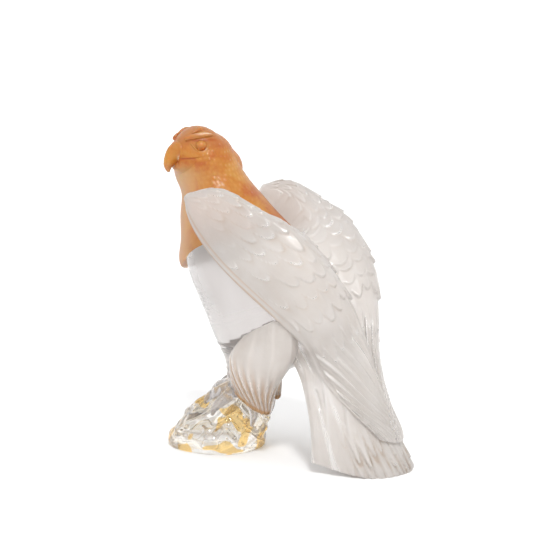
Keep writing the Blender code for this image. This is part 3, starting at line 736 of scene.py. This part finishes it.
def solid(name, form, slot=0):
    """Closed mesh object from a form in the bird's directions, faces outward, in one material slot.

    The carving's painted highlights on the rims, painted shade in the hollows and amber tint, with painted
    reflection, go along as a colour attribute on its face corners. The bonded face keeps its own slot only
    in the oval under the mantle, and is satin round it.
    """
    verts, faces, *paint = form
    places = stacked(verts[:, 1], -verts[:, 0], verts[:, 2]) * UNIT
    mesh = bpy.data.meshes.new(name)
    mesh.from_pydata(places.tolist(), [], faces)
    carving = mesh.color_attributes.new("carving", "FLOAT_COLOR", "CORNER")
    corners = np.zeros(len(mesh.loops), int)
    mesh.loops.foreach_get("vertex_index", corners)
    colours = np.zeros((len(corners), 4))
    colours[:, 3] = 1
    if paint:
        colours[:, :3] = paint[0][corners]
    carving.data.foreach_set("color", colours.ravel())
    work = bmesh.new()
    work.from_mesh(mesh)
    bmesh.ops.remove_doubles(work, verts=work.verts, dist=1e-6)
    bmesh.ops.triangulate(work, faces=work.faces, ngon_method="EAR_CLIP")
    bmesh.ops.recalc_face_normals(work, faces=work.faces)
    if work.calc_volume(signed=True) < 0:
        bmesh.ops.reverse_faces(work, faces=work.faces)
    for face in work.faces:
        x, y, _ = face.calc_center_median()
        outside = ((x - BOND_AT[0]) / BOND_HALF[0]) ** 2 + ((y - BOND_AT[1]) / BOND_HALF[1]) ** 2 > 1
        face.material_index = SATIN if slot == BONDED and outside else slot
    work.to_mesh(mesh)
    work.free()
    return placed(name, mesh)


def grown(source, distance):
    """Copy of a solid moved outward by a clearance."""
    made = placed(source.name + "_clearance", source.data.copy())
    count = len(made.data.vertices)
    places, outward_way = np.empty(count * 3), np.empty(count * 3)
    made.data.vertices.foreach_get("co", places)
    made.data.vertex_normals.foreach_get("vector", outward_way)
    made.data.vertices.foreach_set("co", places + outward_way * distance * UNIT)
    return made


def cast(base, materials, steps):
    """One cast piece: the base with the solids of each step joined to it, cut from it or kept within."""
    tools = [tool for _, group in steps for tool in group]
    for owner in [base] + tools:
        for material in materials:
            owner.data.materials.append(material)
    for way, group in steps:
        for tool in group:
            step = base.modifiers.new(way.lower(), "BOOLEAN")
            step.operation, step.object, step.solver = way, tool, "MANIFOLD"
    graph = bpy.context.evaluated_depsgraph_get()
    mesh = bpy.data.meshes.new_from_object(base.evaluated_get(graph))
    base.modifiers.clear()
    base.data = mesh
    for tool in tools:
        bpy.data.objects.remove(tool, do_unlink=True)
    work = bmesh.new()
    work.from_mesh(mesh)
    bmesh.ops.dissolve_degenerate(work, edges=work.edges, dist=1e-6)
    bmesh.ops.triangulate(work, faces=work.faces)
    work.to_mesh(mesh)
    work.free()
    mesh.shade_smooth()
    mesh.set_sharp_from_angle(angle=SHARP)
    return base


# Finishes

def finish_of(name):
    """A new material, its tree and its shader."""
    made = bpy.data.materials.new(name)
    made.use_nodes = True
    return made, made.node_tree, made.node_tree.nodes["Principled BSDF"]


def fill(tree, node, inputs):
    """Link each input that is given a socket, and set each that is given a value."""
    for key, value in inputs.items():
        if isinstance(value, bpy.types.NodeSocket):
            tree.links.new(value, node.inputs[key])
        else:
            node.inputs[key].default_value = value


def add(tree, kind, inputs, **settings):
    """The outputs of a new node with these inputs and settings."""
    node = tree.nodes.new(kind)
    for key, value in settings.items():
        setattr(node, key, value)
    fill(tree, node, inputs)
    return node.outputs


def object_place(tree):
    """The place on the object, in metres."""
    return add(tree, "ShaderNodeTexCoord", {})["Object"]


def parts_of(tree, place):
    """X, Y and Z of a place."""
    return add(tree, "ShaderNodeSeparateXYZ", {"Vector": place})


def carved_paint(tree):
    """The carving's paint: painted highlight, painted shade, amber tint or deep colour with painted light
    in it.
    """
    paint = add(tree, "ShaderNodeAttribute", {}, attribute_name="carving")["Color"]
    return add(tree, "ShaderNodeSeparateColor", {"Color": paint})


def noise(tree, place, scale, detail, roughness=0.5, distortion=0.0):
    """Cloudy noise at a place, as a number and as a colour."""
    return add(tree, "ShaderNodeTexNoise", {"Vector": place, "Scale": scale, "Detail": detail,
                                            "Roughness": roughness, "Distortion": distortion})


def ramp(tree, factor, stops):
    """Colour ramp through stops, each a place and a colour or a grey."""
    node = tree.nodes.new("ShaderNodeValToRGB")
    fill(tree, node, {"Fac": factor})
    band = node.color_ramp
    while len(band.elements) < len(stops):
        band.elements.new(0.5)
    for element, (place, colour) in zip(band.elements, stops):
        element.position = place
        element.color = (colour, colour, colour, 1.0) if isinstance(colour, float) else (*colour, 1.0)
    return node.outputs["Color"]


def from_to(tree, value, low, high, start=0.0, end=1.0, way="SMOOTHSTEP"):
    """Goes from start to end as the value goes from low to high."""
    span = {"Value": value, "From Min": low, "From Max": high, "To Min": start, "To Max": end}
    return add(tree, "ShaderNodeMapRange", span, interpolation_type=way)["Result"]


def joined(tree, way, first, second, **settings):
    """Two numbers joined by arithmetic."""
    return add(tree, "ShaderNodeMath", {0: first, 1: second}, operation=way, **settings)[0]


def joined_vectors(tree, way, first, second):
    """Two vectors joined by arithmetic."""
    return add(tree, "ShaderNodeVectorMath", {0: first, 1: second}, operation=way)[0]


def layered(tree, colour, layers):
    """A colour with others mixed over it in turn, each by its own factor."""
    for factor, value in layers:
        mix = tree.nodes.new("ShaderNodeMix")
        mix.data_type = "RGBA"
        fill(tree, mix, {"Factor": factor, "A": colour, "B": (*value, 1.0)})
        colour = mix.outputs["Result"]
    return colour


def relief(tree, patterns):
    """Normal of fine relief from patterns one over another, each with its strength and depth in metres."""
    below = {}
    for pattern, strength, depth in patterns:
        inputs = {"Strength": strength, "Distance": depth, "Height": pattern, **below}
        below = {"Normal": add(tree, "ShaderNodeBump", inputs)["Normal"]}
    return below["Normal"]


def depth_tint(tree):
    """The faint warm grey that thick crystal takes on."""
    depth = add(tree, "ShaderNodeVolumeAbsorption", {"Color": (0.56, 0.47, 0.42, 1.0), "Density": 0.4})
    fill(tree, tree.nodes["Material Output"], {"Volume": depth["Volume"]})


def satin_finish():
    """Acid-etched crystal: milky and see-through, smoother on the rims; painted highlight there, painted
    shade in the hollows.
    """
    made, tree, shader = finish_of("satin_crystal")
    place = object_place(tree)
    rim_glint, hollow_shade, amber_tint_and_reflection = carved_paint(tree)
    cloud = noise(tree, place, 28.0, 4.0, 0.6)["Fac"]
    pools = noise(tree, place, 45.0, 2.0)["Fac"]
    tint = ramp(tree, cloud, [(0.30, (0.60, 0.545, 0.50)), (0.55, (0.66, 0.615, 0.575)),
                              (0.80, (0.71, 0.675, 0.65))])
    # Painted shade in warm beige in the hollows, broken into patches
    in_pools = ramp(tree, pools, [(0.45, 0.18), (0.66, 1.0)])
    painted_shade = joined(tree, "MULTIPLY", hollow_shade, in_pools, use_clamp=True)
    parts = parts_of(tree, place)
    # Painted light: paler toward the back and at the wrists
    painted_light_back = from_to(tree, parts["Y"], 0.06, 0.22, end=0.45, way="LINEAR")
    wrist = from_to(tree, parts["Z"], 0.21, 0.27, end=0.5, way="LINEAR")
    # Painted highlight near white on the rims; amber tint at the foot of the thighs and painted amber
    # reflection on the wings
    colour = layered(tree, tint, [(painted_light_back, PALE_SATIN), (wrist, PALE_SATIN), (painted_shade, (0.55, 0.455, 0.375)),
                                  (rim_glint, (0.95, 0.94, 0.93)), (amber_tint_and_reflection, (0.52, 0.27, 0.095))])
    gloss = ramp(tree, rim_glint, [(0.0, 0.40), (0.8, 0.16)])
    grain = noise(tree, place, 900.0, 3.0)["Fac"]
    barbs = add(tree, "ShaderNodeTexWave", {"Vector": place, "Scale": 120.0, "Distortion": 3.0,
                                            "Detail": 2.0, "Detail Scale": 1.5},
                bands_direction="DIAGONAL")["Fac"]
    fill(tree, shader, {"Base Color": colour, "Roughness": gloss, "Transmission Weight": 0.55,
                        "Coat Weight": 0.3, "Coat Roughness": 0.12, "IOR": 1.54,
                        "Normal": relief(tree, [(barbs, 0.10, 0.0004), (grain, 0.15, 0.0002)])})
    depth_tint(tree)
    return made


def polished_finish():
    """Clear polished crystal, faint drawn streaks, frosted toward the bond under the bib, painted light at
    its edges.
    """
    made, tree, shader = finish_of("polished_crystal")
    place = object_place(tree)
    drawn = add(tree, "ShaderNodeMapping", {"Vector": place, "Scale": (1.0, 1.0, 0.25)})["Vector"]
    cloud = noise(tree, drawn, 40.0, 3.0)["Fac"]
    tint = ramp(tree, cloud, [(0.3, (0.63, 0.595, 0.58)), (0.7, (0.69, 0.66, 0.65))])
    turned = add(tree, "ShaderNodeLayerWeight", {"Blend": 0.35})["Facing"]
    # Painted light: the tint turns near white where the surface turns from view
    edge = ramp(tree, turned, [(0.30, 0.0), (0.62, 1.0)])
    parts = parts_of(tree, place)
    rise = joined(tree, "ADD", parts["Z"], joined(tree, "MULTIPLY", parts["Y"], -BACK_RISE))
    frost = from_to(tree, rise, 0.085, 0.185, 0.03, 0.42)
    clearer = ramp(tree, turned, [(0.30, 1.0), (0.60, 0.12)])
    fill(tree, shader, {"Base Color": layered(tree, tint, [(edge, (0.97, 0.965, 0.96))]),
                        "Roughness": joined(tree, "MULTIPLY", frost, clearer),
                        "Transmission Weight": 0.82, "IOR": 1.48,
                        "Normal": relief(tree, [(cloud, 0.12, 0.001)])})
    depth_tint(tree)
    return made


def bonded_finish():
    """Ground face at the bond under the amber: dense white satin with a faint peach cloud."""
    made, tree, shader = finish_of("bonded_face_satin")
    cloud = noise(tree, object_place(tree), 60.0, 3.0)["Fac"]
    tint = ramp(tree, cloud, [(0.3, (0.86, 0.80, 0.76)), (0.7, (0.92, 0.885, 0.86))])
    fill(tree, shader, {"Base Color": tint, "Roughness": 0.5})
    return made


def amber_finish():
    """Amber crystal: glowing orange, paler at crown, throat and bib, deep orange in blotches and painted
    shade in cuts.
    """
    made, tree, shader = finish_of("amber_crystal_carved")
    place = object_place(tree)
    rim_glint, _, deep = carved_paint(tree)
    blotch = noise(tree, place, 30.0, 5.0, 0.62, 0.6)["Fac"]
    tint = ramp(tree, blotch, [(0.40, (0.48, 0.115, 0.007)), (0.49, (0.55, 0.205, 0.017)),
                               (0.64, (0.61, 0.285, 0.045))])
    parts = parts_of(tree, place)
    front = from_to(tree, parts["Y"], 0.02, -0.03)
    bib = joined(tree, "MULTIPLY", from_to(tree, parts["Z"], 0.325, 0.265), front)
    crown = from_to(tree, parts["Z"], 0.325, 0.356)
    below_chin = joined(tree, "MULTIPLY", from_to(tree, parts["Z"], 0.322, 0.305),
                        from_to(tree, parts["Z"], 0.270, 0.292))
    throat = joined(tree, "MULTIPLY", below_chin, front)
    turned = add(tree, "ShaderNodeLayerWeight", {"Blend": 0.4})["Facing"]
    # Painted shade: deeper orange where the surface turns from view
    edge = ramp(tree, turned, [(0.45, 0.0), (0.85, 0.6)])
    # The deep colour holds blotches and painted shade; the rims carry a pale painted highlight
    colour = layered(tree, tint, [(bib, (0.56, 0.33, 0.15)), (throat, (0.59, 0.36, 0.175)),
                                  (crown, (0.50, 0.20, 0.045)), (deep, (0.42, 0.085, 0.005)),
                                  (edge, (0.46, 0.14, 0.012)), (rim_glint, (0.93, 0.76, 0.58))])
    gloss = ramp(tree, rim_glint, [(0.0, 0.42), (0.7, 0.24)])
    grain = noise(tree, place, 420.0, 3.0)["Fac"]
    fill(tree, shader, {"Base Color": colour, "Roughness": gloss, "Transmission Weight": 0.35,
                        "Subsurface Weight": 0.5, "Subsurface Radius": (1.0, 0.35, 0.08),
                        "Subsurface Scale": 0.012, "Specular IOR Level": 0.3, "Coat Weight": 0.15,
                        "Coat Roughness": 0.2, "IOR": 1.5,
                        "Normal": relief(tree, [(grain, 0.12, 0.0003)])})
    return made


def rock_finish():
    """Clear crystal drawn with white, grey and beige swirls, golden patches lying in it.

    The place is first bent by a slow noise. A patch is where the bent place lies within its reach, and
    small cells of the same gold are scattered between.
    """
    made, tree, shader = finish_of("clear_rock_polished")
    place = object_place(tree)
    bend = joined_vectors(tree, "MULTIPLY", noise(tree, place, 22.0, 2.0)["Color"], (2 * DRIFT,) * 3)
    moved = joined_vectors(tree, "ADD", place, bend)
    swirl = add(tree, "ShaderNodeTexWave", {"Vector": moved, "Scale": 14.0, "Distortion": 4.0,
                                            "Detail": 2.0, "Detail Scale": 1.2},
                bands_direction="Z")["Fac"]
    tint = ramp(tree, swirl, [(0.0, (0.50, 0.44, 0.38)), (0.10, (0.80, 0.78, 0.75)),
                              (0.45, (0.90, 0.885, 0.87)), (0.70, (0.76, 0.66, 0.50)),
                              (0.92, (0.86, 0.82, 0.76))])
    cells = add(tree, "ShaderNodeTexVoronoi", {"Vector": moved, "Scale": 48.0})["Color"]
    pick = add(tree, "ShaderNodeSeparateColor", {"Color": cells})["Red"]
    golden = ramp(tree, pick, [(0.0, 0.0), (0.80, 0.0), (0.82, 1.0)])
    for middle, (across, up) in GOLD_PATCHES:
        shift = joined_vectors(tree, "ADD", moved, tuple(-part - DRIFT for part in middle))
        shape = joined_vectors(tree, "MULTIPLY", shift, (1 / across, 1 / across, 1 / up))
        away = add(tree, "ShaderNodeVectorMath", {0: shape}, operation="LENGTH")["Value"]
        golden = joined(tree, "MAXIMUM", golden, joined(tree, "LESS_THAN", away, 1.0))
    ripple = noise(tree, place, 60.0, 2.0)["Fac"]
    fill(tree, shader, {"Base Color": layered(tree, tint, [(golden, (0.82, 0.46, 0.10))]),
                        "Roughness": ramp(tree, ripple, [(0.3, 0.01), (0.8, 0.05)]),
                        "Transmission Weight": 0.94, "IOR": 1.5,
                        "Normal": relief(tree, [(ripple, 0.35, 0.002)])})
    return made


# The three casts

satin, polished = satin_finish(), polished_finish()
bonded, amber, clear_rock = bonded_finish(), amber_finish(), rock_finish()

boulder = solid("clear_rock", rock())
rock_room = grown(boulder, GAP)
left_wing = solid("left_wing", wing(seed=1, strength=1.0, bolder=0.9), SATIN)
right_wing = solid("right_wing", mirrored(wing(seed=2, strength=1.6, bolder=0.0)), SATIN)
wing_rooms = [grown(left_wing, GAP), grown(right_wing, GAP)]
limbs = [solid("left_thigh", thigh([0] * len(THIGH), 1.0, seed=3), SATIN),
         solid("right_thigh", mirrored(thigh(FAR_THIGH_STEP, FAR_THIGH_SHARE, seed=4)), SATIN)]
for k, path in enumerate(TOES):
    ahead = [(f + FAR_FOOT_STEP, l, u, r) for f, l, u, r in path]
    limbs += [solid("left_toe_%d" % k, tube(path, 14, 16), POLISHED),
              solid("right_toe_%d" % k, mirrored(tube(ahead, 14, 16)), POLISHED)]
body = cast(solid("carved_body", trunk(), POLISHED), [polished, satin, bonded], [
    ("DIFFERENCE", [solid("over_body", parting(-GAP / 2), BONDED)]),
    ("UNION", [solid("tail", tail(), SATIN), left_wing, right_wing] + limbs),
    ("DIFFERENCE", [rock_room]),
])
head_parts = [solid("skull", head()), solid("upper_bill", bill(BILL, 40, 44, ridge=CERE)),
              solid("lower_bill", bill(LOWER_BILL, 30, 20, ridge=0.0))]
for name, form in (("brow", head_rod(BROW, gleam=1.0)), ("crown_fold", head_rod(CROWN_FOLD)),
                   ("eye", eyeball()), ("lid", head_rod(LID, 10, 24))):
    head_parts += [solid("left_" + name, form), solid("right_" + name, head_mirror(form))]
mantle = cast(solid("carved_head_and_mantle", neck()), [amber], [
    ("INTERSECT", [solid("over_parting", parting(GAP / 2))]),
    ("UNION", head_parts),
    ("DIFFERENCE", wing_rooms),
])
boulder = cast(boulder, [clear_rock], [])

for piece, slot, node in ((boulder, "clear_rock_crystal", "crystal_rock"),
                          (body, "frosted_crystal", "crystal_body"),
                          (mantle, "amber_crystal", "amber_head_and_mantle")):
    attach(piece, "root")
    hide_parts(node)


# Floor, light and camera

def pale_floor():
    """One wide pale disc, the stage under the object."""
    ring = round_angles(FLOOR_SIDES)
    verts = stacked(FLOOR_REACH * np.cos(ring), FLOOR_REACH * np.sin(ring), -FLOOR_DROP)
    mesh = bpy.data.meshes.new("pale_floor")
    mesh.from_pydata(verts.tolist(), [], [list(range(FLOOR_SIDES))])
    material, tree, shader = finish_of("pale_floor_paint")
    fill(tree, shader, {"Base Color": (0.93, 0.93, 0.93, 1.0), "Roughness": 0.6})
    mesh.materials.append(material)
    placed("pale_floor", mesh)


def photo_camera():
    """Camera at the photograph's viewing angle."""
    data = bpy.data.cameras.new("photo_camera")
    made = placed("photo_camera", data)
    made.location = CAMERA_AT
    made.rotation_euler = Vector(CAMERA_WAY).to_track_quat("-Z", "Y").to_euler()
    data.lens, data.sensor_width, data.clip_end = CAMERA_LENS, CAMERA_SENSOR, CAMERA_REACH
    scene.camera = made


def studio_sky():
    """White round the horizon, a softer grey overhead."""
    world = bpy.data.worlds.new("studio")
    scene.world = world
    world.use_nodes = True
    tree = world.node_tree
    way = parts_of(tree, add(tree, "ShaderNodeTexCoord", {})["Generated"])
    bright = ramp(tree, way["Z"], [(0.0, 1.0), (0.16, 1.0), (0.5, 0.80), (1.0, 0.72)])
    fill(tree, tree.nodes["Background"], {"Color": bright, "Strength": SKY_STRENGTH})


def soft_sun():
    """One wide sun from high behind the camera."""
    sun = bpy.data.lights.new("soft_sun", "SUN")
    sun.energy, sun.angle = SUN_STRENGTH, SUN_WIDTH
    lamp = placed("soft_sun", sun)
    lamp.rotation_euler = Vector(SUN_WAY).to_track_quat("-Z", "Y").to_euler()


pale_floor()
photo_camera()
studio_sky()
soft_sun()
scene.view_settings.view_transform = "Standard"
bounces = scene.cycles
bounces.max_bounces = bounces.transmission_bounces = bounces.glossy_bounces = 24
bounces.diffuse_bounces = 8
